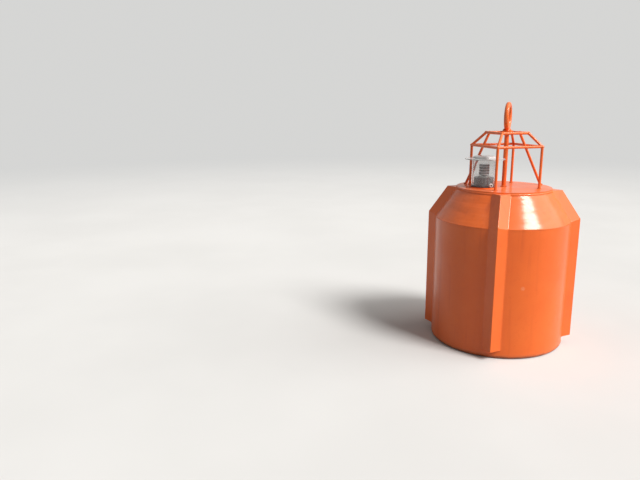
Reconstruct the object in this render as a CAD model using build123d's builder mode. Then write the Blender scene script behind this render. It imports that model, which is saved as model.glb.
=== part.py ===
"""Steel mooring buoy: a welded drum with four fender ribs, a rod cage, a lantern and a fixed lifting ring.

Millimetres, +Z up. The buoy stands on its flat bottom plate, with its axis on Z and the first rib
towards -Y. Azimuths are in degrees about +Z, counted from -Y towards +X.
"""
import math
import os

from build123d import *

os.makedirs("parts", exist_ok=True)

# Hull plates
body_radius = 400.0
deck_radius = 281.0
deck_thickness = 8.0
deck_overhang = 3.0
knuckle_height = 770.0
shoulder_rise = 190.0
plate = 6.0
bottom_edge_radius = 20.0

# Fender ribs: equal angle bars, corner outwards, welded on the outside by both toes
rib_azimuths = (0, 90, 180, 270)
rib_standoff = 50.0
rib_bottom_height = 54.0
rib_plate = 8.0
rib_corner_radius = 2.5
rib_root_radius = 9.0

# Mooring pocket in the bottom, with its eye plate
pocket_radius = 109.5
pocket_wall = 6.3
pocket_depth = 125.0
eye_thickness = 20.0
eye_width = 90.0
eye_bore = 44.0
eye_ground_clearance = 7.0

# Rod cage on the deck: a large square frame on posts, a small one above it
rod = 16.0
cage_azimuth = -10.3
frame_half_diagonal = 208.0
frame_rise = 246.0
crown_half_diagonal = 124.0
crown_rise = 77.0
corner_turns = (0, 90, 180, 270)
side_names = ("front_right", "back_right", "back_left", "front_left")
corner_names = ("front", "right", "back", "left")
weld_gap = 0.3

# Two slanted braces: the side or corner that each starts at
side_brace_turn = 135
corner_brace_turn = -90
corner_brace_edge_distance = 41.0

# Centre post, ring seat and lifting ring
post_diameter = 27.0
seat_length = 130.0
seat_width = 56.0
seat_thickness = 16.0
seat_below_crown = 3.0
ring_bar = 28.0
ring_mean_radius = 72.0
ring_sink = 4.0
ring_azimuth = -5.0

# Lantern, on a plate beside the centre post
lantern_turn = -45
lantern_distance = 139.0
lantern_plate_radius = 78.0
lantern_plate_thickness = 6.0
lantern_base_radius = 58.0
lantern_base_height = 56.0
lantern_foot_height = 12.0
cover_radius = 73.0
cover_wall = 3.0
lens_radius = 31.0
lens_bottom = 13.0
lens_rib_count = 8
lens_rib_pitch = 8.0
lens_rib_depth = 3.0
cap_radius = 117.0
cap_thickness = 5.0
cap_crown_radius = 70.0
cap_crown_height = 15.0
cap_headroom = 48.0

# Worked out from the values above
deck_height = knuckle_height + shoulder_rise
frame_height = deck_height + frame_rise
crown_height = frame_height + crown_rise
seat_height = crown_height - seat_below_crown
eye_bore_height = eye_ground_clearance + eye_width / 2
deck_underside = deck_height - deck_thickness
shoulder_top_radius = deck_radius - deck_overhang
cone_angle = math.atan2(body_radius - shoulder_top_radius, deck_underside - knuckle_height)
mitre_drop = plate * math.tan(cone_angle / 2)
seat_top = seat_height + seat_thickness
ring_centre_height = seat_top + ring_mean_radius + ring_bar / 2 - ring_sink


def at(radius, azimuth, height):
    """The point at a radius, azimuth and height about the buoy's axis."""
    angle = math.radians(azimuth)
    return Vector(radius * math.sin(angle), -radius * math.cos(angle), height)


def save(solid, label):
    """Name a finished piece and write it."""
    solid.label = label
    export_step(solid, f"parts/{label}.step")


def turned_profile(points):
    """A solid of revolution about Z from an outline in the XZ plane."""
    with BuildPart() as turned:
        with BuildSketch(Plane.XZ):
            with BuildLine():
                Polyline(*points, close=True)
            make_face()
        revolve(axis=Axis.Z)
    return turned.part


# Outer form of the hull, which the ribs are cut to
with BuildPart() as hull_form:
    with BuildSketch(Plane.XZ):
        with BuildLine():
            Polyline(
                (0, 0),
                (body_radius, 0),
                (body_radius, knuckle_height),
                (shoulder_top_radius, deck_underside),
                (deck_radius, deck_underside),
                (deck_radius, deck_height),
                (0, deck_height),
                close=True,
            )
        make_face()
    revolve(axis=Axis.Z)

# Bottom plate: flat, with a rounded edge turned up to the side plate
edge_centre = body_radius - bottom_edge_radius
with BuildPart() as hull_bottom:
    with BuildSketch(Plane.XZ):
        with BuildLine():
            Line((pocket_radius, 0), (edge_centre, 0))
            CenterArc((edge_centre, bottom_edge_radius), bottom_edge_radius, -90, 90)
            Line((body_radius, bottom_edge_radius), (body_radius - plate, bottom_edge_radius))
            CenterArc((edge_centre, bottom_edge_radius), bottom_edge_radius - plate, 0, -90)
            Line((edge_centre, plate), (pocket_radius, plate))
            Line((pocket_radius, plate), (pocket_radius, 0))
        make_face()
    revolve(axis=Axis.Z)
save(hull_bottom.part, "hull_bottom")

# Side plate, mitred to the shoulder at the knuckle
save(
    turned_profile(
        [
            (body_radius - plate, bottom_edge_radius),
            (body_radius, bottom_edge_radius),
            (body_radius, knuckle_height),
            (body_radius - plate, knuckle_height - mitre_drop),
        ]
    ),
    "hull_side",
)

# Conical shoulder plate, up to the underside of the deck plate
shoulder_inner_top = shoulder_top_radius - plate / math.cos(cone_angle)
save(
    turned_profile(
        [
            (body_radius, knuckle_height),
            (shoulder_top_radius, deck_underside),
            (shoulder_inner_top, deck_underside),
            (body_radius - plate, knuckle_height - mitre_drop),
        ]
    ),
    "hull_shoulder",
)

# Deck plate, laid on the shoulder with its edge a little past it
with BuildPart() as hull_deck:
    with BuildSketch(Plane.XY.offset(deck_underside)):
        Circle(deck_radius)
    extrude(amount=deck_thickness)
save(hull_deck.part, "hull_deck")

# One rib: an angle bar mitred at the knuckle, coped to the side and the shoulder, with closed ends
rib_overrun = 2 * rib_standoff
shoulder_run = Vector(body_radius - shoulder_top_radius, deck_underside - knuckle_height).normalized()


def rib_ridge(inset, bottom, top, corner_radius):
    """A solid ridge up the hull between two heights, its two faces set in from the rib's outer ones."""
    corner = -body_radius - rib_standoff + inset * math.sqrt(2)
    half_width = rib_standoff + 2 * rib_plate
    with BuildPart() as ridge:
        with BuildLine() as path:
            Polyline(
                (0, -body_radius, bottom),
                (0, -body_radius, knuckle_height),
                (
                    0,
                    -shoulder_top_radius + rib_overrun * shoulder_run.X,
                    deck_underside + rib_overrun * shoulder_run.Y,
                ),
            )
        with BuildSketch(Plane.XY.offset(bottom)) as section:
            with BuildLine():
                Polyline(
                    (0, corner),
                    (half_width, corner + half_width),
                    (-half_width, corner + half_width),
                    close=True,
                )
            make_face()
            fillet(section.vertices().sort_by(Axis.Y)[:1], corner_radius)
        sweep(path=path.wires()[0], transition=Transition.RIGHT)
        split(bisect_by=Plane.XY.offset(top), keep=Keep.BOTTOM)
    return ridge.part


with BuildPart() as rib_form:
    add(rib_ridge(0, rib_bottom_height, deck_underside, rib_corner_radius))
    add(
        rib_ridge(rib_plate, rib_bottom_height + rib_plate, deck_underside - rib_plate, rib_root_radius),
        mode=Mode.SUBTRACT,
    )
    add(hull_form.part, mode=Mode.SUBTRACT)

for number, azimuth in enumerate(rib_azimuths, start=1):
    save(rib_form.part.rotate(Axis.Z, azimuth), f"rib_{number}")

# Mooring pocket: a short pipe with a closed top, flush with the bottom plate
pocket_bore = pocket_radius - pocket_wall
save(
    turned_profile(
        [
            (pocket_bore, 0),
            (pocket_radius, 0),
            (pocket_radius, pocket_depth),
            (0, pocket_depth),
            (0, pocket_depth - plate),
            (pocket_bore, pocket_depth - plate),
        ]
    ),
    "mooring_pocket",
)

# Mooring eye: a plate with a round end and a cross bore, hung from the top of the pocket
with BuildPart() as mooring_eye:
    with BuildSketch(Plane.YZ):
        with Locations((0, eye_bore_height)):
            Circle(eye_width / 2)
        with Locations((0, (eye_bore_height + pocket_depth - plate) / 2)):
            Rectangle(eye_width, pocket_depth - plate - eye_bore_height)
        with Locations((0, eye_bore_height)):
            Circle(eye_bore / 2, mode=Mode.SUBTRACT)
    extrude(amount=eye_thickness / 2, both=True)
save(mooring_eye.part, "mooring_eye")


def rod_between(start, end):
    """A round bar from one point to another."""
    with BuildPart() as bar:
        with BuildSketch(Plane(origin=start, z_dir=end - start)):
            Circle(rod / 2)
        extrude(amount=(end - start).length)
    return bar.part


def square_frame(half_diagonal, height, label):
    """Four bars in a square, mitred at its corners; each is written, and all are returned."""
    bars = []
    for turn, side in zip(corner_turns, side_names):
        first, last = cage_azimuth + turn, cage_azimuth + turn + 90
        start, end = at(half_diagonal, first, height), at(half_diagonal, last, height)
        run = (end - start).normalized() * rod
        with BuildPart() as bar:
            add(rod_between(start - run, end + run))
            split(bisect_by=Plane(origin=(0, 0, 0), z_dir=at(1, first + 90, 0)), keep=Keep.TOP)
            split(bisect_by=Plane(origin=(0, 0, 0), z_dir=at(1, last + 90, 0)), keep=Keep.BOTTOM)
        save(bar.part, f"{label}_{side}")
        bars.append(bar.part)
    return bars


frame_bars = square_frame(frame_half_diagonal, frame_height, "frame_bar")
crown_bars = square_frame(crown_half_diagonal, crown_height, "crown_bar")

# Posts under the frame's corners, coped to it
posts = []
for turn, corner in zip(corner_turns, corner_names):
    azimuth = cage_azimuth + turn
    with BuildPart() as post:
        add(rod_between(at(frame_half_diagonal, azimuth, deck_height), at(frame_half_diagonal, azimuth, frame_height)))
        for bar in frame_bars:
            add(bar, mode=Mode.SUBTRACT)
    save(post.part, f"post_{corner}")
    posts.append(post.part)

# Hips from the frame's corners up to the crown's
hips = []
for turn, corner, post in zip(corner_turns, corner_names, posts):
    azimuth = cage_azimuth + turn
    with BuildPart() as hip:
        add(rod_between(at(frame_half_diagonal, azimuth, frame_height), at(crown_half_diagonal, azimuth, crown_height)))
        for neighbour in frame_bars + crown_bars + [post]:
            add(neighbour, mode=Mode.SUBTRACT)
    save(hip.part, f"hip_{corner}")
    hips.append(hip.part)

# Brace down from the middle of one crown bar, leaning on the inside of the frame bar below it
crown_side_distance = crown_half_diagonal / math.sqrt(2)
frame_side_distance = frame_half_diagonal / math.sqrt(2)
crown_drop = crown_height - frame_height
reach = math.hypot(frame_side_distance - crown_side_distance, crown_drop)
lean = math.atan2(frame_side_distance - crown_side_distance, crown_drop) - math.asin((rod + weld_gap) / reach)
side_brace_foot = crown_side_distance + (crown_height - deck_height) * math.tan(lean)


def brace_between(top, foot, label):
    """A slanted rod from a crown bar to the deck, trimmed to both."""
    run = (foot - top).normalized() * rod
    with BuildPart() as brace:
        add(rod_between(top, foot + run))
        split(bisect_by=Plane.XY.offset(deck_height), keep=Keep.TOP)
        for neighbour in crown_bars + hips:
            add(neighbour, mode=Mode.SUBTRACT)
    save(brace.part, label)


side_azimuth = cage_azimuth + side_brace_turn
brace_between(
    at(crown_side_distance, side_azimuth, crown_height),
    at(side_brace_foot, side_azimuth, deck_height),
    "brace_side",
)

# Brace from the crown's left corner to the deck rim, passing beside the left post
corner_azimuth = cage_azimuth + corner_brace_turn
beside = at(rod + weld_gap, corner_azimuth - 90, 0)
brace_between(
    at(crown_half_diagonal - rod - weld_gap, corner_azimuth, crown_height) + beside,
    at(deck_radius - corner_brace_edge_distance, corner_azimuth, deck_height) + beside,
    "brace_corner",
)

# Centre post, from the deck to the seat of the ring
with BuildPart() as centre_post:
    with BuildSketch(Plane.XY.offset(deck_height)):
        Circle(post_diameter / 2)
    extrude(amount=seat_height - deck_height)
save(centre_post.part, "centre_post")

with BuildPart() as ring_seat:
    with BuildSketch(Plane.XY.offset(seat_height)):
        with Locations(Rotation(0, 0, ring_azimuth)):
            RectangleRounded(seat_width, seat_length, seat_width / 5)
    extrude(amount=seat_thickness)
save(ring_seat.part, "ring_seat")

# Lifting ring, upright and in line with its seat, with its foot set down on it
with BuildPart() as lifting_ring:
    with BuildSketch(Plane.XY.offset(ring_centre_height)):
        with Locations((0, ring_mean_radius)):
            Circle(ring_bar / 2)
    revolve(axis=Axis((0, 0, ring_centre_height), (1, 0, 0)))
    split(bisect_by=Plane.XY.offset(seat_top), keep=Keep.TOP)
save(lifting_ring.part.rotate(Axis.Z, ring_azimuth), "lifting_ring")

# Lantern pieces, each turned about the lantern's own upright axis
lantern_axis = at(lantern_distance, cage_azimuth + lantern_turn, 0)


def save_on_lantern_axis(points, label):
    """Turn an outline about Z and stand the result on the lantern's axis."""
    save(turned_profile(points).moved(Location(lantern_axis)), label)


plate_top = deck_height + lantern_plate_thickness
base_top = plate_top + lantern_base_height
cap_top = frame_height - rod / 2 - cap_headroom
crown_foot = cap_top - cap_crown_height
cover_top = crown_foot - cap_thickness
save_on_lantern_axis(
    [(0, deck_height), (lantern_plate_radius, deck_height), (lantern_plate_radius, plate_top), (0, plate_top)],
    "lantern_plate",
)
cover_bore = cover_radius - cover_wall
save_on_lantern_axis(
    [
        (0, plate_top),
        (cover_bore, plate_top),
        (cover_bore, plate_top + lantern_foot_height),
        (lantern_base_radius, plate_top + lantern_foot_height),
        (lantern_base_radius, base_top),
        (0, base_top),
    ],
    "lantern_base",
)

# Lens: a stack of rounded rings, as a toothed outline
lens_base = base_top + lens_bottom
lens_outline = [(0, base_top), (lens_radius / 2, base_top), (lens_radius / 2, lens_base)]
for rib in range(lens_rib_count):
    foot = lens_base + rib * lens_rib_pitch
    lens_outline += [
        (lens_radius - lens_rib_depth, foot),
        (lens_radius, foot + lens_rib_pitch / 3),
        (lens_radius, foot + 2 * lens_rib_pitch / 3),
    ]
lens_top = lens_base + lens_rib_count * lens_rib_pitch
lens_outline += [(lens_radius - lens_rib_depth, lens_top), (0, lens_top)]
save_on_lantern_axis(lens_outline, "lantern_lens")

save_on_lantern_axis(
    [
        (cover_bore, plate_top),
        (cover_radius, plate_top),
        (cover_radius, cover_top),
        (0, cover_top),
        (0, cover_top - cover_wall),
        (cover_bore, cover_top - cover_wall),
    ],
    "lantern_cover",
)

# Cap: a wide thin flange with a low crown, its edge rounded to the crown's full height
with BuildPart() as lantern_cap:
    with BuildSketch(Plane.XZ):
        with BuildLine():
            Polyline((0, cap_top), (0, cover_top), (cap_radius, cover_top), (cap_radius, crown_foot))
            Line((cap_radius, crown_foot), (cap_crown_radius, crown_foot))
            CenterArc((cap_crown_radius - cap_crown_height, crown_foot), cap_crown_height, 0, 90)
            Line((cap_crown_radius - cap_crown_height, cap_top), (0, cap_top))
        make_face()
    revolve(axis=Axis.Z)
save(lantern_cap.part.moved(Location(lantern_axis)), "lantern_cap")
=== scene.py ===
"""The steel mooring buoy in a plain studio: paint, weld beads, lantern details, floor, light and camera.

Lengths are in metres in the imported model's frame: +Z up, the first rib towards -Y. Azimuths are in degrees
about +Z, counted from -Y towards +X.
"""
import math

import bpy
from mathutils import Matrix, Vector, noise


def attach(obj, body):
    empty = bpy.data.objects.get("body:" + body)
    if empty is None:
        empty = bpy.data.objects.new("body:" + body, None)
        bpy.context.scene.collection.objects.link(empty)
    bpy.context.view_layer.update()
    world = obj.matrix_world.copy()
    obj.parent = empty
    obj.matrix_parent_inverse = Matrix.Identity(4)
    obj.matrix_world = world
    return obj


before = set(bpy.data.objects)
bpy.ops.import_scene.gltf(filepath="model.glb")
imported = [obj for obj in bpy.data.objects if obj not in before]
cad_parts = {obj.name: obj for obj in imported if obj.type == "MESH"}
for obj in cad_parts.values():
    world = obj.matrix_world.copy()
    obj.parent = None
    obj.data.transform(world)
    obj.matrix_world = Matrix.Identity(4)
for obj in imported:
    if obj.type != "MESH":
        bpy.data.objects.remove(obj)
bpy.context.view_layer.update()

UP = Vector((0, 0, 1))
SHARP_EDGE = math.radians(32)  # An edge with a larger angle stays sharp

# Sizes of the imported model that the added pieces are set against
BODY_R = 0.400
BOTTOM_EDGE_Z = 0.020
KNUCKLE_Z = 0.770
SHOULDER_TOP_R = 0.278
DECK_R = 0.281
DECK_UNDER_Z, DECK_Z = 0.952, 0.960
POCKET_TOP_Z = 0.119
EYE_HALF_THICK, EYE_HALF_WIDE = 0.010, 0.045
RIB_AZIMUTHS = (0, 90, 180, 270)
RIB_OUT = 0.050
RIB_BOTTOM = 0.054
RIB_PLATE = 0.008
CAGE_AZ = -10.3
FRAME_R, FRAME_Z = 0.208, 1.206
CROWN_R, CROWN_Z = 0.124, 1.283
ROD_R = 0.008
# The slanted braces: azimuth from the cage's, radius at the top and at the foot, and how far beside it they are
BRACES = ((135, 0.0877, 0.2594, 0.0), (-90, 0.1077, 0.240, 0.0163))
POST_R = 0.0135
SEAT_Z0, SEAT_Z1 = 1.280, 1.296
RING_AZ = -5.0
RING_R, RING_BAR_R, RING_Z = 0.072, 0.014, 1.378
LANTERN_AZ, LANTERN_R = -55.3, 0.139
LANTERN_PLATE_Z = 0.966
COVER_R, COVER_TOP_Z = 0.073, 1.130
LENS_FOOT_R, LENS_FOOT_Z = 0.0155, 1.022
LENS_TIER, LENS_TIER_Z = 0.016, 1.035

# What isn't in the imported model: the vent plug's place on the lantern's cover, and a scuff on the side
PLUG_AZ, PLUG_Z = 37.0, 0.980
SCUFF = (0.1530, -0.3696, 0.4305)

# Weld beads: width and height, then the seams' and the deck fillet's places
KNUCKLE_BEAD = (0.009, 0.0020)
BOTTOM_BEAD = (0.008, 0.0020)
SIDE_SEAM = (0.010, 0.0022)
SHOULDER_SEAM = (0.009, 0.0022)
DECK_FILLET = (0.0125, 0.0042)
RIB_SIDE_FILLET = (0.010, 0.0028)
RIB_SHOULDER_FILLET = (0.009, 0.0022)
RIB_MITRE = (0.007, 0.0014)
RIB_END_SEAM = (0.005, 0.0008)
RIB_END_FILLET = (0.009, 0.0035)
RIB_TOP_FILLET = (0.008, 0.0035)
RING_FILLET = (0.036, 0.0160)
EYE_FILLET = (0.011, 0.005)
SIDE_SEAM_AZ, SHOULDER_SEAM_AZ = 141, 208
DECK_FILLET_R, DECK_FILLET_Z = 0.2826, 0.9474

# Weld metal round the rods' feet, as a collar's height, and over joints, as a blob's radius
FOOT_COLLAR = 0.006
POST_COLLAR = 0.008
SEAT_COLLAR = 0.007
BRACE_COLLAR = 0.007
CORNER_BLOB = 0.0100
BRACE_BLOB = 0.0098
MITRE_BLOB = 0.0045

# How far in from the ribs' outer corners their beads and blobs end, which keeps them within the corners
MITRE_INSET, MITRE_BLOB_INSET, END_INSET = 0.0024, 0.0061, 0.003

# Linear colours
ENAMEL, ENAMEL_BRIGHT = (0.81, 0.128, 0.010), (0.86, 0.152, 0.015)
ENAMEL_SPECKS, ENAMEL_RUNS = (0.68, 0.090, 0.007), (0.62, 0.080, 0.007)
ENAMEL_SHEEN = (1.0, 0.86, 0.72, 1.0)
DUST = (0.74, 0.40, 0.28)
# The dark brown painted into the bottom edge as the shade where the buoy stands on the floor
PAINTED_FOOT_SHADE = (0.24, 0.075, 0.028)
SCUFFED = (0.86, 0.38, 0.20)
# Lens colours: the first is painted shade on half of each tier, the second the tiers' pale tone, the third a
# haze
LENS_PAINTED_SHADE, LENS_PALE, LENS_HAZE = (0.15, 0.15, 0.16), (0.62, 0.63, 0.66), (0.48, 0.47, 0.46)
BACKDROP = (0.67, 0.67, 0.66)
FLOOR_PALE, FLOOR_PALER = (0.65, 0.65, 0.64), (0.68, 0.68, 0.67)
FLOOR_BOUNCE = (0.30, 0.28, 0.26)
AMBIENT, AMBIENT_STRENGTH = (1.0, 0.97, 0.94), 0.24

# The studio floor's radius and sides, and the distances over which it fades into the backdrop
FLOOR_R, FLOOR_SIDES = 60.0, 96
FADE_NEAR, FADE_FAR = 3.0, 14.0

# Lamps: azimuth, elevation and width in degrees, strength and colour
LAMPS = {
    "key_light": (69.0, 46.0, 20.0, 3.2, (1.0, 0.98, 0.96)),
    "panel_light": (98.0, 38.0, 64.0, 1.8, (1.0, 0.98, 0.95)),
}
LAMP_DISTANCE = 4.5

# The camera, fitted to the photograph
PHOTO_WIDTH_PX = 640.0
FOCAL_PX = 600.0
SENSOR_MM = 36.0
CAMERA_AZ = 2.0
CAMERA_DISTANCE = 3.81798
CAMERA_HEIGHT = 1.45275
PITCH_DOWN = 12.7283
TURNED_LEFT = 17.1122
ROLL = -0.2183


def at(radius, azimuth, height):
    """The point at a radius, azimuth and height about the buoy's axis."""
    angle = math.radians(azimuth)
    return Vector((radius * math.sin(angle), -radius * math.cos(angle), height))


def add_object(name, data):
    """A new object in the scene, made of a mesh, a lamp or a camera."""
    item = bpy.data.objects.new(name, data)
    bpy.context.scene.collection.objects.link(item)
    return item


def add_mesh(name, verts, faces, material):
    """A new object from lists of points and faces."""
    mesh = bpy.data.meshes.new(name)
    mesh.from_pydata([tuple(v) for v in verts], [], faces)
    mesh.validate()
    mesh.update()
    mesh.materials.append(material)
    return add_object(name, mesh)


# Materials


class Nodes:
    """Short calls for building a node tree. An input takes a plain value or another node's output."""

    def __init__(self, tree):
        self.tree = tree

    def fill(self, socket, value):
        if isinstance(value, bpy.types.NodeSocket):
            self.tree.links.new(value, socket)
        elif socket.type == "RGBA" and len(value) == 3:
            socket.default_value = (*value, 1.0)
        else:
            socket.default_value = value

    def add(self, kind, **values):
        """A node with its attributes and inputs. An input's name is written with underscores."""
        node = self.tree.nodes.new(kind)
        for key, value in values.items():
            socket = key.replace("_", " ")
            if socket in node.inputs.keys():
                self.fill(node.inputs[socket], value)
            else:
                setattr(node, key, value)
        return node

    def position(self):
        return self.add("ShaderNodeTexCoord").outputs["Object"]

    def stretched(self, vector, scale, shift=(0, 0, 0)):
        return self.add("ShaderNodeMapping", Vector=vector, Scale=scale, Location=shift).outputs["Vector"]

    def noise(self, vector, scale, detail, roughness):
        node = self.add("ShaderNodeTexNoise", Vector=vector, Scale=scale, Detail=detail, Roughness=roughness)
        return node.outputs["Fac"]

    def remap(self, value, low, high, to_low=0.0, to_high=1.0):
        """A smooth step from to_low, where value is low or less, to to_high."""
        ends = {"From_Min": low, "From_Max": high, "To_Min": to_low, "To_Max": to_high}
        node = self.add("ShaderNodeMapRange", interpolation_type="SMOOTHSTEP", Value=value, **ends)
        return node.outputs["Result"]

    def patches(self, vector, scale, detail, roughness, low, high, to_low=0.0, to_high=1.0):
        """Noise of that scale, detail and roughness, remapped from low and high to to_low and to_high."""
        return self.remap(self.noise(vector, scale, detail, roughness), low, high, to_low, to_high)

    def math(self, operation, first, second=0.0):
        node = self.add("ShaderNodeMath", operation=operation)
        self.fill(node.inputs[0], first)
        self.fill(node.inputs[1], second)
        return node.outputs[0]

    def mix(self, factor, first, second):
        node = self.add("ShaderNodeMix", data_type="RGBA")
        for index, value in ((0, factor), (6, first), (7, second)):
            self.fill(node.inputs[index], value)
        return node.outputs[2]

    def mix_shaders(self, factor, first, second):
        node = self.add("ShaderNodeMixShader")
        for index, value in enumerate((factor, first, second)):
            self.fill(node.inputs[index], value)
        return node.outputs[0]

    def bump(self, height, distance, strength=1.0, under=None):
        """A bumped normal, on top of the one under it if that is given."""
        node = self.add("ShaderNodeBump", Height=height, Strength=strength, Distance=distance)
        if under is not None:
            self.fill(node.inputs["Normal"], under)
        return node.outputs["Normal"]

    def distance(self, vector, point):
        node = self.add("ShaderNodeVectorMath", operation="DISTANCE")
        self.fill(node.inputs[0], vector)
        self.fill(node.inputs[1], point)
        return node.outputs["Value"]

    def height(self, vector):
        return self.add("ShaderNodeSeparateXYZ", Vector=vector).outputs["Z"]

    def upward(self):
        """How far a surface faces up: its normal's height."""
        return self.height(self.add("ShaderNodeNewGeometry").outputs["Normal"])

    def seen(self):
        """1 for rays from the camera, a reflection or clear plastic, 0 for rays that light the buoy."""
        rays = self.add("ShaderNodeLightPath").outputs
        both = self.math("MAXIMUM", rays["Is Camera Ray"], rays["Is Glossy Ray"])
        return self.math("MAXIMUM", both, rays["Is Transmission Ray"])


class Surface(Nodes):
    """The nodes of a new material."""

    def __init__(self, name):
        self.material = bpy.data.materials.new(name)
        self.material.use_nodes = True
        super().__init__(self.material.node_tree)
        self.shader = self.tree.nodes["Principled BSDF"]

    def set(self, **values):
        """Fill the shader's inputs, whose names are written with underscores."""
        for key, value in values.items():
            self.fill(self.shader.inputs[key.replace("_", " ")], value)


def make_paint(name, ripple):
    """Glossy orange marine enamel sprayed over steel, with dust on what faces up, painted shade darkening it
    towards the bottom edge, and a scuff.

    ripple is the depth of the level bands that pressing leaves in rolled plate.
    """
    n = Surface(name)
    place = n.position()
    runs = n.stretched(place, (26.0, 26.0, 1.6))
    dust = n.patches(place, 9.0, 6.0, 0.65, 0.35, 0.75, 0.05, 0.32)
    dust = n.math("MULTIPLY", n.remap(n.upward(), 0.35, 1.0), dust)
    # Painted shade: the enamel darkens in patches towards the bottom edge, standing in for the shade along the
    # buoy's foot
    foot_shade = n.patches(place, 24.0, 5.0, 0.65, 0.3, 0.6, 0.4, 1.0)
    foot_shade = n.math("MULTIPLY", n.remap(n.height(place), 0.004, 0.034, 0.75, 0.0), foot_shade)
    scuff = n.patches(place, 320.0, 3.0, 0.6, 0.35, 0.6)
    scuff = n.math("MULTIPLY", n.remap(n.distance(place, SCUFF), 0.005, 0.017, 0.5, 0.0), scuff)
    colour = n.mix(n.patches(place, 2.6, 3.0, 0.55, 0.3, 0.7), ENAMEL, ENAMEL_BRIGHT)
    for share, layer in (
        (n.patches(place, 38.0, 4.0, 0.6, 0.52, 0.8, 0.0, 0.25), ENAMEL_SPECKS),
        (n.patches(runs, 1.0, 3.0, 0.55, 0.5, 0.8, 0.0, 0.36), ENAMEL_RUNS),
        (dust, DUST),
        (foot_shade, PAINTED_FOOT_SHADE),
        (scuff, SCUFFED),
    ):
        colour = n.mix(share, colour, layer)
    smear = n.patches(place, 6.0, 5.0, 0.6, 0.35, 0.7, 0.48, 0.6)
    rough = n.math("ADD", smear, n.math("MULTIPLY", dust, 0.4))
    bands = n.stretched(place, (3.5, 3.5, 20.0), (0, 0, 1.9))
    waves = n.bump(n.noise(bands, 1.0, 2.0, 0.5), ripple)
    waves = n.bump(n.noise(place, 6.0, 1.0, 0.4), 0.0035, 0.5, waves)
    peel = n.bump(n.noise(place, 420.0, 2.0, 0.5), 0.0002, 0.35, waves)
    n.set(Base_Color=colour, Roughness=rough, IOR=1.36, Specular_Tint=ENAMEL_SHEEN, Normal=peel)
    n.set(Coat_Weight=0.5, Coat_IOR=1.6, Coat_Roughness=0.18, Coat_Normal=waves)
    return n.material


def make_clear(name, colour, transmission, rough):
    """Clear moulded plastic with faint flow marks."""
    n = Surface(name)
    place = n.position()
    duller = tuple(c * 0.95 for c in colour)
    tone = n.mix(n.patches(place, 30.0, 3.0, 0.5, 0.35, 0.7), colour, duller)
    smear = n.patches(place, 45.0, 4.0, 0.6, 0.35, 0.75, rough, rough + 0.06)
    marks = n.bump(n.noise(place, 60.0, 2.0, 0.5), 0.0006, 0.25)
    n.set(Base_Color=tone, Roughness=smear, Normal=marks, Transmission_Weight=transmission, IOR=1.45)
    return n.material


def make_plastic(name, colour, rough, coat=0.0):
    """Moulded plastic or rubber with a fine grain and uneven tone."""
    n = Surface(name)
    place = n.position()
    darker = tuple(c * 0.72 for c in colour)
    tone = n.mix(n.patches(place, 55.0, 4.0, 0.6, 0.35, 0.7), colour, darker)
    smear = n.patches(place, 80.0, 3.0, 0.6, 0.3, 0.7, rough, rough + 0.15)
    grain = n.bump(n.noise(place, 900.0, 2.0, 0.5), 0.0002, 0.4)
    n.set(Base_Color=tone, Roughness=smear, Normal=grain, Coat_Weight=coat)
    return n.material


def make_lens():
    """Lens plastic in stacked tiers, with painted shade on one half of each tier."""
    n = Surface("clear_lens_plastic")
    place = n.position()
    # Painted shade: half of every tier is darkened, standing in for the shade of the lens's rings
    above = n.math("SUBTRACT", n.height(place), LENS_TIER_Z)
    turn = n.math("MULTIPLY", above, 2 * math.pi / LENS_TIER)
    tier_shading = n.mix(n.remap(n.math("SINE", turn), -0.5, 0.5), LENS_PAINTED_SHADE, LENS_PALE)
    tone = n.mix(n.patches(place, 40.0, 3.0, 0.5, 0.35, 0.7, 0.0, 0.3), tier_shading, LENS_HAZE)
    smear = n.patches(place, 45.0, 4.0, 0.6, 0.35, 0.75, 0.10, 0.18)
    n.set(Base_Color=tone, Roughness=smear, Transmission_Weight=0.2, IOR=1.45)
    return n.material


def make_floor():
    """A pale floor that is darker only to the light it throws back, fading into the backdrop's colour."""
    n = Surface("studio_floor")
    place = n.position()
    seen = n.seen()
    pale = n.mix(n.patches(place, 0.8, 3.0, 0.5, 0.3, 0.7), FLOOR_PALE, FLOOR_PALER)
    n.set(Base_Color=n.mix(seen, FLOOR_BOUNCE, pale), Roughness=0.9, Specular_IOR_Level=0.1)
    glow = n.add("ShaderNodeEmission", Color=BACKDROP).outputs[0]
    far = n.math("MULTIPLY", seen, n.remap(n.distance(place, (0, 0, 0)), FADE_NEAR, FADE_FAR))
    surface = n.mix_shaders(far, n.shader.outputs[0], glow)
    n.fill(n.tree.nodes["Material Output"].inputs["Surface"], surface)
    return n.material


paint = make_paint("orange_marine_enamel", 0.0006)
rippled_paint = make_paint("orange_marine_enamel_on_pressed_plate", 0.0066)
clear = make_clear("clear_polycarbonate", (0.90, 0.89, 0.88), 0.94, 0.04)
frosted = make_clear("clear_cap_plastic", (0.82, 0.82, 0.82), 0.35, 0.16)
base_plastic = make_plastic("dark_lantern_plastic", (0.060, 0.058, 0.068), 0.38, 0.3)
lens_plastic = make_lens()
rubber = make_plastic("black_gasket_rubber", (0.03, 0.03, 0.03), 0.6)
pale_plastic = make_plastic("pale_plug_plastic", (0.72, 0.72, 0.70), 0.35, 0.4)

NODE_MATERIALS = {
    "hull_shoulder": rippled_paint,
    "lantern_base": base_plastic,
    "lantern_lens": lens_plastic,
    "lantern_cover": clear,
    "lantern_cap": frosted,
}


def keep_edges(piece):
    """Keep a smooth piece's sharp edges sharp."""
    piece.modifiers.new("keep_edges", "EDGE_SPLIT").split_angle = SHARP_EDGE


for name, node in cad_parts.items():
    node.data.materials.clear()
    node.data.materials.append(NODE_MATERIALS.get(name, paint))
    node.data.shade_smooth()
    keep_edges(node)


# Pieces


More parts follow.
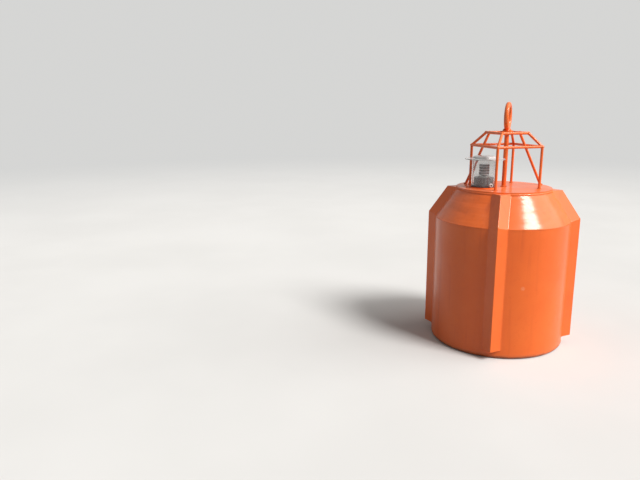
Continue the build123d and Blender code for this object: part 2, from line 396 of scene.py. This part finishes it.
def add_piece(name, verts, faces, material):
    """A smooth piece on the buoy's one body."""
    piece = add_mesh(name, verts, faces, material)
    piece.data.shade_smooth()
    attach(piece, "root")
    return piece


def turned_faces(start, around, section, ring=True):
    """Faces between the sections of a turned shape, whose points start at an index.

    A ring's sections are closed on themselves.
    """
    faces = []
    for i in range(around):
        a, b = start + i * section, start + (i + 1) % around * section
        for k in range(section if ring else section - 1):
            m = (k + 1) % section
            faces.append((a + k, b + k, b + m, a + m))
    return faces


class Beads:
    """Weld beads gathered into one mesh. A bead's size is its width and height.

    It has ACROSS points across, a ripple every PITCH, and its edges lie SINK below the surface it is on.
    """

    ACROSS = 7
    PITCH = 0.0042
    SINK = 0.0012

    def __init__(self):
        self.verts, self.faces = [], []

    def bead(self, points, outs, sides, size, closed=False, sink=SINK):
        """A rippled bead along points. outs are unit vectors off the surface, sides across the bead."""
        width, height = size
        rings = len(points)
        start = len(self.verts)
        for i, (point, out, side) in enumerate(zip(points, outs, sides)):
            ripple = 0.82 + 0.18 * math.cos(i * math.pi) + 0.10 * noise.noise(point * 160.0)
            spread = 1.0 + 0.12 * noise.noise(point * 90.0 + Vector((3.1, 1.7, 0.4)))
            taper = 1.0
            if not closed:
                taper = min(1.0, 0.35 + i / 3.0, 0.35 + (rings - 1 - i) / 3.0)
            for k in range(self.ACROSS):
                turn = math.pi * k / (self.ACROSS - 1)
                along_side = side * (math.cos(turn) * width / 2 * spread * taper)
                off_surface = out * (math.sin(turn) * height * ripple * taper - sink)
                self.verts.append(point + along_side + off_surface)
        for i in range(rings if closed else rings - 1):
            a, b = start + i * self.ACROSS, start + (i + 1) % rings * self.ACROSS
            for k in range(self.ACROSS):
                m = (k + 1) % self.ACROSS
                self.faces.append((a + k, a + m, b + m, b + k))
        if not closed:
            end = start + (rings - 1) * self.ACROSS
            self.faces.append(tuple(range(start + self.ACROSS - 1, start - 1, -1)))
            self.faces.append(tuple(range(end, end + self.ACROSS)))

    def ring(self, radius, height_z, out, size, first=0.0, last=360.0, sink=SINK):
        """A bead round the buoy's axis. out gives the radial and upward share of its outward direction."""
        whole = last - first == 360.0
        count = int(math.radians(last - first) * radius / (self.PITCH / 2)) // 2 * 2
        points, outs, sides = [], [], []
        for i in range(count):
            azimuth = first + (last - first) * i / (count if whole else count - 1)
            radial = at(1.0, azimuth, 0.0)
            points.append(at(radius, azimuth, height_z))
            outs.append((radial * out[0] + UP * out[1]).normalized())
            sides.append((radial * -out[1] + UP * out[0]).normalized())
        self.bead(points, outs, sides, size, closed=whole, sink=sink)

    def line(self, start, end, out, size, sink=SINK):
        """A straight bead."""
        run = end - start
        count = max(4, int(run.length / (self.PITCH / 2)))
        side = run.normalized().cross(out).normalized()
        points = [start + run * (i / (count - 1)) for i in range(count)]
        self.bead(points, [out.normalized()] * count, [side] * count, size, sink=sink)

    def collar(self, centre, axis, radius, size, seed):
        """A lumpy fillet round a rod where it meets a surface. axis points up the rod."""
        axis = axis.normalized()
        first = axis.orthogonal().normalized()
        second = axis.cross(first)
        around, section, sunk = 28, 6, 0.0006
        start = len(self.verts)
        for i in range(around):
            turn = 2 * math.pi * i / around
            radial = first * math.cos(turn) + second * math.sin(turn)
            probe = (centre + radial * radius) * 110.0 + Vector((seed, 0, 0))
            swell = size * (1.0 + 0.22 * noise.noise(probe) + 0.10 * math.cos(i * math.pi))
            for k in range(section):
                share = k / (section - 1)
                reach = swell * (1 - share) ** 1.4
                rise = swell * share ** 1.4
                self.verts.append(centre + radial * (radius - sunk + reach) + axis * (rise - sunk))
        self.faces += turned_faces(start, around, section)

    def blob(self, centre, radius, seed):
        """A lumpy ball of weld metal over a joint."""
        rows, columns = 10, 16
        start = len(self.verts)
        self.verts += [centre + UP * radius, centre - UP * radius]
        for r in range(1, rows):
            tilt = math.pi * r / rows
            for c in range(columns):
                direction = at(math.sin(tilt), 360 * c / columns, math.cos(tilt))
                lump = 1.0 + 0.10 * noise.noise(direction * 2.2 + Vector((seed, seed * 0.7, 1.3)))
                self.verts.append(centre + direction * radius * lump)
        ring = start + 2
        for c in range(columns):
            d = (c + 1) % columns
            self.faces.append((start, ring + c, ring + d))
            for r in range(rows - 2):
                a = ring + r * columns
                b = a + columns
                self.faces.append((a + c, b + c, b + d, a + d))
            a = ring + (rows - 2) * columns
            self.faces.append((start + 1, a + d, a + c))

    def make(self, name):
        add_piece(name, self.verts, self.faces, paint)


# The shoulder's slope up and its outward direction, each as a radial and an upward share
slope = Vector((SHOULDER_TOP_R - BODY_R, DECK_UNDER_Z - KNUCKLE_Z)).normalized()
slope_out = Vector((slope.y, -slope.x))


def side_face(across):
    """Radius of a rib's face on the side, at a distance across from the rib's middle."""
    return BODY_R + RIB_OUT - across


def shoulder_face(across, height):
    """Radius of a rib's face on the shoulder, at a distance across from the rib's middle and a height."""
    lift = RIB_OUT - across
    along = (height - KNUCKLE_Z - slope_out.y * lift) / slope.y
    return BODY_R + slope.x * along + slope_out.x * lift


def toe_across(hull_radius, radius_of):
    """Where a rib's face meets the round hull: the distance across at which both have one radius."""
    low, high = 0.0, 2 * RIB_OUT
    for _ in range(40):
        middle = (low + high) / 2
        if math.hypot(radius_of(middle), middle) > hull_radius:
            low = middle
        else:
            high = middle
    return low


hull_welds = Beads()
hull_welds.ring(BODY_R, KNUCKLE_Z, (1.0, 0.28), KNUCKLE_BEAD)
hull_welds.ring(DECK_FILLET_R, DECK_FILLET_Z, (0.95, 0.32), DECK_FILLET, sink=0.0006)
hull_welds.ring(BODY_R, BOTTOM_EDGE_Z, (1.0, 0.0), BOTTOM_BEAD)
foot = at(BODY_R, SIDE_SEAM_AZ, BOTTOM_EDGE_Z)
hull_welds.line(foot, at(BODY_R, SIDE_SEAM_AZ, KNUCKLE_Z), at(1, SIDE_SEAM_AZ, 0), SIDE_SEAM)
foot, top = at(BODY_R, SHOULDER_SEAM_AZ, KNUCKLE_Z), at(SHOULDER_TOP_R, SHOULDER_SEAM_AZ, DECK_UNDER_Z)
hull_welds.line(foot, top, at(slope_out.x, SHOULDER_SEAM_AZ, slope_out.y), SHOULDER_SEAM)
hull_welds.make("welds_hull")

rib_welds = Beads()
side_toe = toe_across(BODY_R, side_face)
knuckle_toe = toe_across(BODY_R, lambda across: shoulder_face(across, KNUCKLE_Z))
top_toe = toe_across(SHOULDER_TOP_R, lambda across: shoulder_face(across, DECK_UNDER_Z))
side_turn = math.degrees(math.asin(side_toe / BODY_R))
top_turn = math.degrees(math.asin(top_toe / SHOULDER_TOP_R))
corner_z = KNUCKLE_Z + RIB_OUT * slope_out.y / (1 + slope_out.x)
corner_r = BODY_R + RIB_OUT
end_z = RIB_BOTTOM + RIB_PLATE
for azimuth in RIB_AZIMUTHS:
    radial, tangent = at(1.0, azimuth, 0.0), at(1.0, azimuth + 90, 0.0)
    upper = radial * slope_out.x + UP * slope_out.y
    corner = radial * (corner_r - MITRE_INSET) + UP * corner_z
    end_corner = radial * (corner_r - END_INSET) + UP * end_z
    for hand in (-1, 1):
        across = tangent * hand
        low = radial * math.sqrt(BODY_R**2 - side_toe**2) + across * side_toe
        bend = radial * math.sqrt(BODY_R**2 - knuckle_toe**2) + across * knuckle_toe + UP * KNUCKLE_Z
        top = radial * math.sqrt(SHOULDER_TOP_R**2 - top_toe**2) + across * top_toe + UP * DECK_UNDER_Z
        hull_side = low.normalized()
        hull_top = (upper + across * (top_toe / SHOULDER_TOP_R)).normalized()
        face_side = (radial + across).normalized()
        face_top = (upper + across).normalized()
        rib_welds.line(low + UP * RIB_BOTTOM, low + UP * KNUCKLE_Z, face_side + hull_side, RIB_SIDE_FILLET)
        rib_welds.line(bend, top, face_top + hull_top, RIB_SHOULDER_FILLET)
        rib_welds.line(bend, corner, face_side + face_top, RIB_MITRE, sink=0.0004)
        rib_welds.line(low + UP * end_z, end_corner, face_side, RIB_END_SEAM, sink=0.0003)
    rib_welds.blob(radial * (corner_r - MITRE_BLOB_INSET) + UP * corner_z, MITRE_BLOB, azimuth)
    # Across the hull, under the closed lower end and where the top meets the deck's edge
    ends = (azimuth - side_turn, azimuth + side_turn)
    rib_welds.ring(BODY_R + 0.001, RIB_BOTTOM - 0.001, (1.0, -1.0), RIB_END_FILLET, *ends)
    ends = (azimuth - top_turn, azimuth + top_turn)
    rib_welds.ring(DECK_R, DECK_UNDER_Z, (1.0, 1.0), RIB_TOP_FILLET, *ends)
rib_welds.make("welds_ribs")

cage_welds = Beads()
for k in range(4):
    azimuth = CAGE_AZ + 90 * k
    cage_welds.collar(at(FRAME_R, azimuth, DECK_Z), UP, ROD_R, FOOT_COLLAR, k)
    cage_welds.blob(at(FRAME_R, azimuth, FRAME_Z), CORNER_BLOB, k)
    cage_welds.blob(at(CROWN_R, azimuth, CROWN_Z), CORNER_BLOB, k + 7)
cage_welds.collar(Vector((0, 0, DECK_Z)), UP, POST_R, POST_COLLAR, 5)
cage_welds.collar(Vector((0, 0, SEAT_Z0)), -UP, POST_R, SEAT_COLLAR, 6)
for k, (turn, top_r, foot_r, beside_by) in enumerate(BRACES):
    azimuth = CAGE_AZ + turn
    beside = at(beside_by, azimuth - 90, 0)
    foot, top = at(foot_r, azimuth, DECK_Z) + beside, at(top_r, azimuth, CROWN_Z) + beside
    cage_welds.collar(foot, top - foot, ROD_R, BRACE_COLLAR, 8 + 2 * k)
    cage_welds.blob(top, BRACE_BLOB, 9 + 2 * k)
cage_welds.make("welds_cage")

# Along both sides of the lifting ring's foot, where it stands on its seat
ring_welds = Beads()
ring_out, ring_along = at(1, RING_AZ + 90, 0), at(1, RING_AZ, 0)
sunk = RING_Z - SEAT_Z1
foot_half = math.sqrt((RING_R + RING_BAR_R) ** 2 - sunk**2)
count = 40
for hand in (-1, 1):
    points, outs, sides = [], [], []
    for i in range(count):
        along = foot_half * (2 * i / (count - 1) - 1)
        reach = math.hypot(along, sunk) - RING_R
        half = math.sqrt(max(0.0, RING_BAR_R**2 - reach**2))
        points.append(ring_along * along + ring_out * hand * half + UP * SEAT_Z1)
        outs.append((ring_out * hand + UP * 0.8 + ring_along * (along / foot_half) ** 3).normalized())
        sides.append(outs[-1].cross(ring_along).normalized())
    ring_welds.bead(points, outs, sides, RING_FILLET)
ring_welds.make("welds_ring")

# Along the mooring eye's root inside the pocket
eye_welds = Beads()
for hand in (-1, 1):
    start = Vector((hand * EYE_HALF_THICK, -EYE_HALF_WIDE, POCKET_TOP_Z))
    end = Vector((hand * EYE_HALF_THICK, EYE_HALF_WIDE, POCKET_TOP_Z))
    eye_welds.line(start, end, Vector((hand, 0, -1)), EYE_FILLET)
eye_welds.make("welds_eye")


def turned(outline, centre, axis=UP, around=64, ring=True):
    """Points and faces turned about an axis from an outline of (radius, height along the axis) points.

    A ring closes its outline on itself; anything else is closed by a flat face at each end.
    """
    first = axis.orthogonal().normalized()
    second = axis.cross(first)
    verts = []
    for i in range(around):
        turn = 2 * math.pi * i / around
        radial = first * math.cos(turn) + second * math.sin(turn)
        verts += [centre + radial * radius + axis * height for radius, height in outline]
    size = len(outline)
    faces = turned_faces(0, around, size, ring)
    if not ring:
        faces.append(tuple(i * size for i in reversed(range(around))))
        faces.append(tuple(i * size + size - 1 for i in range(around)))
    return verts, faces


def add_turned(name, shapes, material):
    """One piece from several turned shapes, with its sharp edges kept."""
    verts, faces = [], []
    for shape_verts, shape_faces in shapes:
        offset = len(verts)
        verts += shape_verts
        faces += [tuple(index + offset for index in face) for face in shape_faces]
    keep_edges(add_piece(name, verts, faces, material))


def rounded_band(inner, outer, low, high, radius):
    """Outline of a band with its two outer edges rounded."""
    points = [(inner, low)]
    for centre_z, first in ((low + radius, -90), (high - radius, 0)):
        for step in range(4):
            turn = math.radians(first + 30 * step)
            points.append((outer - radius + radius * math.cos(turn), centre_z + radius * math.sin(turn)))
    points.append((inner, high))
    return points


# The gaskets at the foot and the top of the lantern's cover
lantern = at(LANTERN_R, LANTERN_AZ, 0)
gasket_inner = COVER_R - 0.0003
foot_band = rounded_band(gasket_inner, COVER_R + 0.0024, LANTERN_PLATE_Z, LANTERN_PLATE_Z + 0.0045, 0.0012)
top_band = rounded_band(gasket_inner, COVER_R + 0.0016, COVER_TOP_Z - 0.003, COVER_TOP_Z, 0.0008)
add_turned("lantern_gaskets", [turned(foot_band, lantern), turned(top_band, lantern)], rubber)

# The vent plug low on the lantern's cover: washer and hexagon with a rubber button in its middle
plug_out = at(1, PLUG_AZ, 0)
plug_root = lantern + plug_out * (COVER_R - 0.0005) + UP * PLUG_Z
washer = [(0.0118, 0.0), (0.0118, 0.0022), (0.0112, 0.0028)]
hexagon = [(0.0112, 0.0028), (0.0112, 0.0092), (0.0104, 0.0100)]
button = [(0.0056, 0.0100), (0.0056, 0.0112), (0.0048, 0.0118)]
plug_shapes = [
    turned(washer, plug_root, plug_out, 32, ring=False),
    turned(hexagon, plug_root, plug_out, 6, ring=False),
]
add_turned("lantern_vent_plug", plug_shapes, pale_plastic)
add_turned("lantern_vent_button", [turned(button, plug_root, plug_out, 24, ring=False)], rubber)

# The pale flange that the lens stands on
flange = rounded_band(LENS_FOOT_R - 0.0005, 0.037, LENS_FOOT_Z - 0.0002, LENS_FOOT_Z + 0.0068, 0.0015)
add_turned("lantern_lens_flange", [turned(flange, lantern)], pale_plastic)

# Stage: floor, world, lamps and camera

rim = [at(FLOOR_R, 360 * i / FLOOR_SIDES, 0) for i in range(FLOOR_SIDES)]
floor = add_mesh("studio_floor", rim, [tuple(range(FLOOR_SIDES))], make_floor())

world = bpy.data.worlds.new("studio_world")
bpy.context.scene.world = world
world.use_nodes = True
n = Nodes(world.node_tree)
ambient = n.tree.nodes["Background"]
n.fill(ambient.inputs["Color"], AMBIENT)
n.fill(ambient.inputs["Strength"], AMBIENT_STRENGTH)
backdrop = n.add("ShaderNodeBackground", Color=BACKDROP, Strength=1.0)
surface = n.mix_shaders(n.seen(), ambient.outputs[0], backdrop.outputs[0])
n.fill(n.tree.nodes["World Output"].inputs["Surface"], surface)

for name, (azimuth, elevation, width, energy, colour) in LAMPS.items():
    lamp = bpy.data.lights.new(name, "SUN")
    lamp.energy = energy
    lamp.angle = math.radians(width)
    lamp.color = colour
    tilt = math.radians(elevation)
    source = at(math.cos(tilt), azimuth, math.sin(tilt))
    light = add_object(name, lamp)
    light.location = source * LAMP_DISTANCE
    light.rotation_euler = (-source).to_track_quat("-Z", "Y").to_euler()

pitch, turn, roll = (math.radians(v) for v in (PITCH_DOWN, TURNED_LEFT, ROLL))
forward = Vector((-math.sin(turn) * math.cos(pitch), math.cos(turn) * math.cos(pitch), -math.sin(pitch)))
level = Vector((math.cos(turn), math.sin(turn), 0))
upright = level.cross(forward)
right = level * math.cos(roll) + upright * math.sin(roll)
up = upright * math.cos(roll) - level * math.sin(roll)
axes = Matrix((right, up, -forward)).transposed().to_4x4()
spin = Matrix.Rotation(math.radians(CAMERA_AZ), 4, "Z")
camera_data = bpy.data.cameras.new("camera")
camera_data.sensor_width = SENSOR_MM
camera_data.lens = FOCAL_PX * SENSOR_MM / PHOTO_WIDTH_PX
camera = add_object("camera", camera_data)
camera.matrix_world = spin @ Matrix.Translation((0, -CAMERA_DISTANCE, CAMERA_HEIGHT)) @ axes
bpy.context.scene.camera = camera
bpy.context.scene.view_settings.view_transform = "Standard"
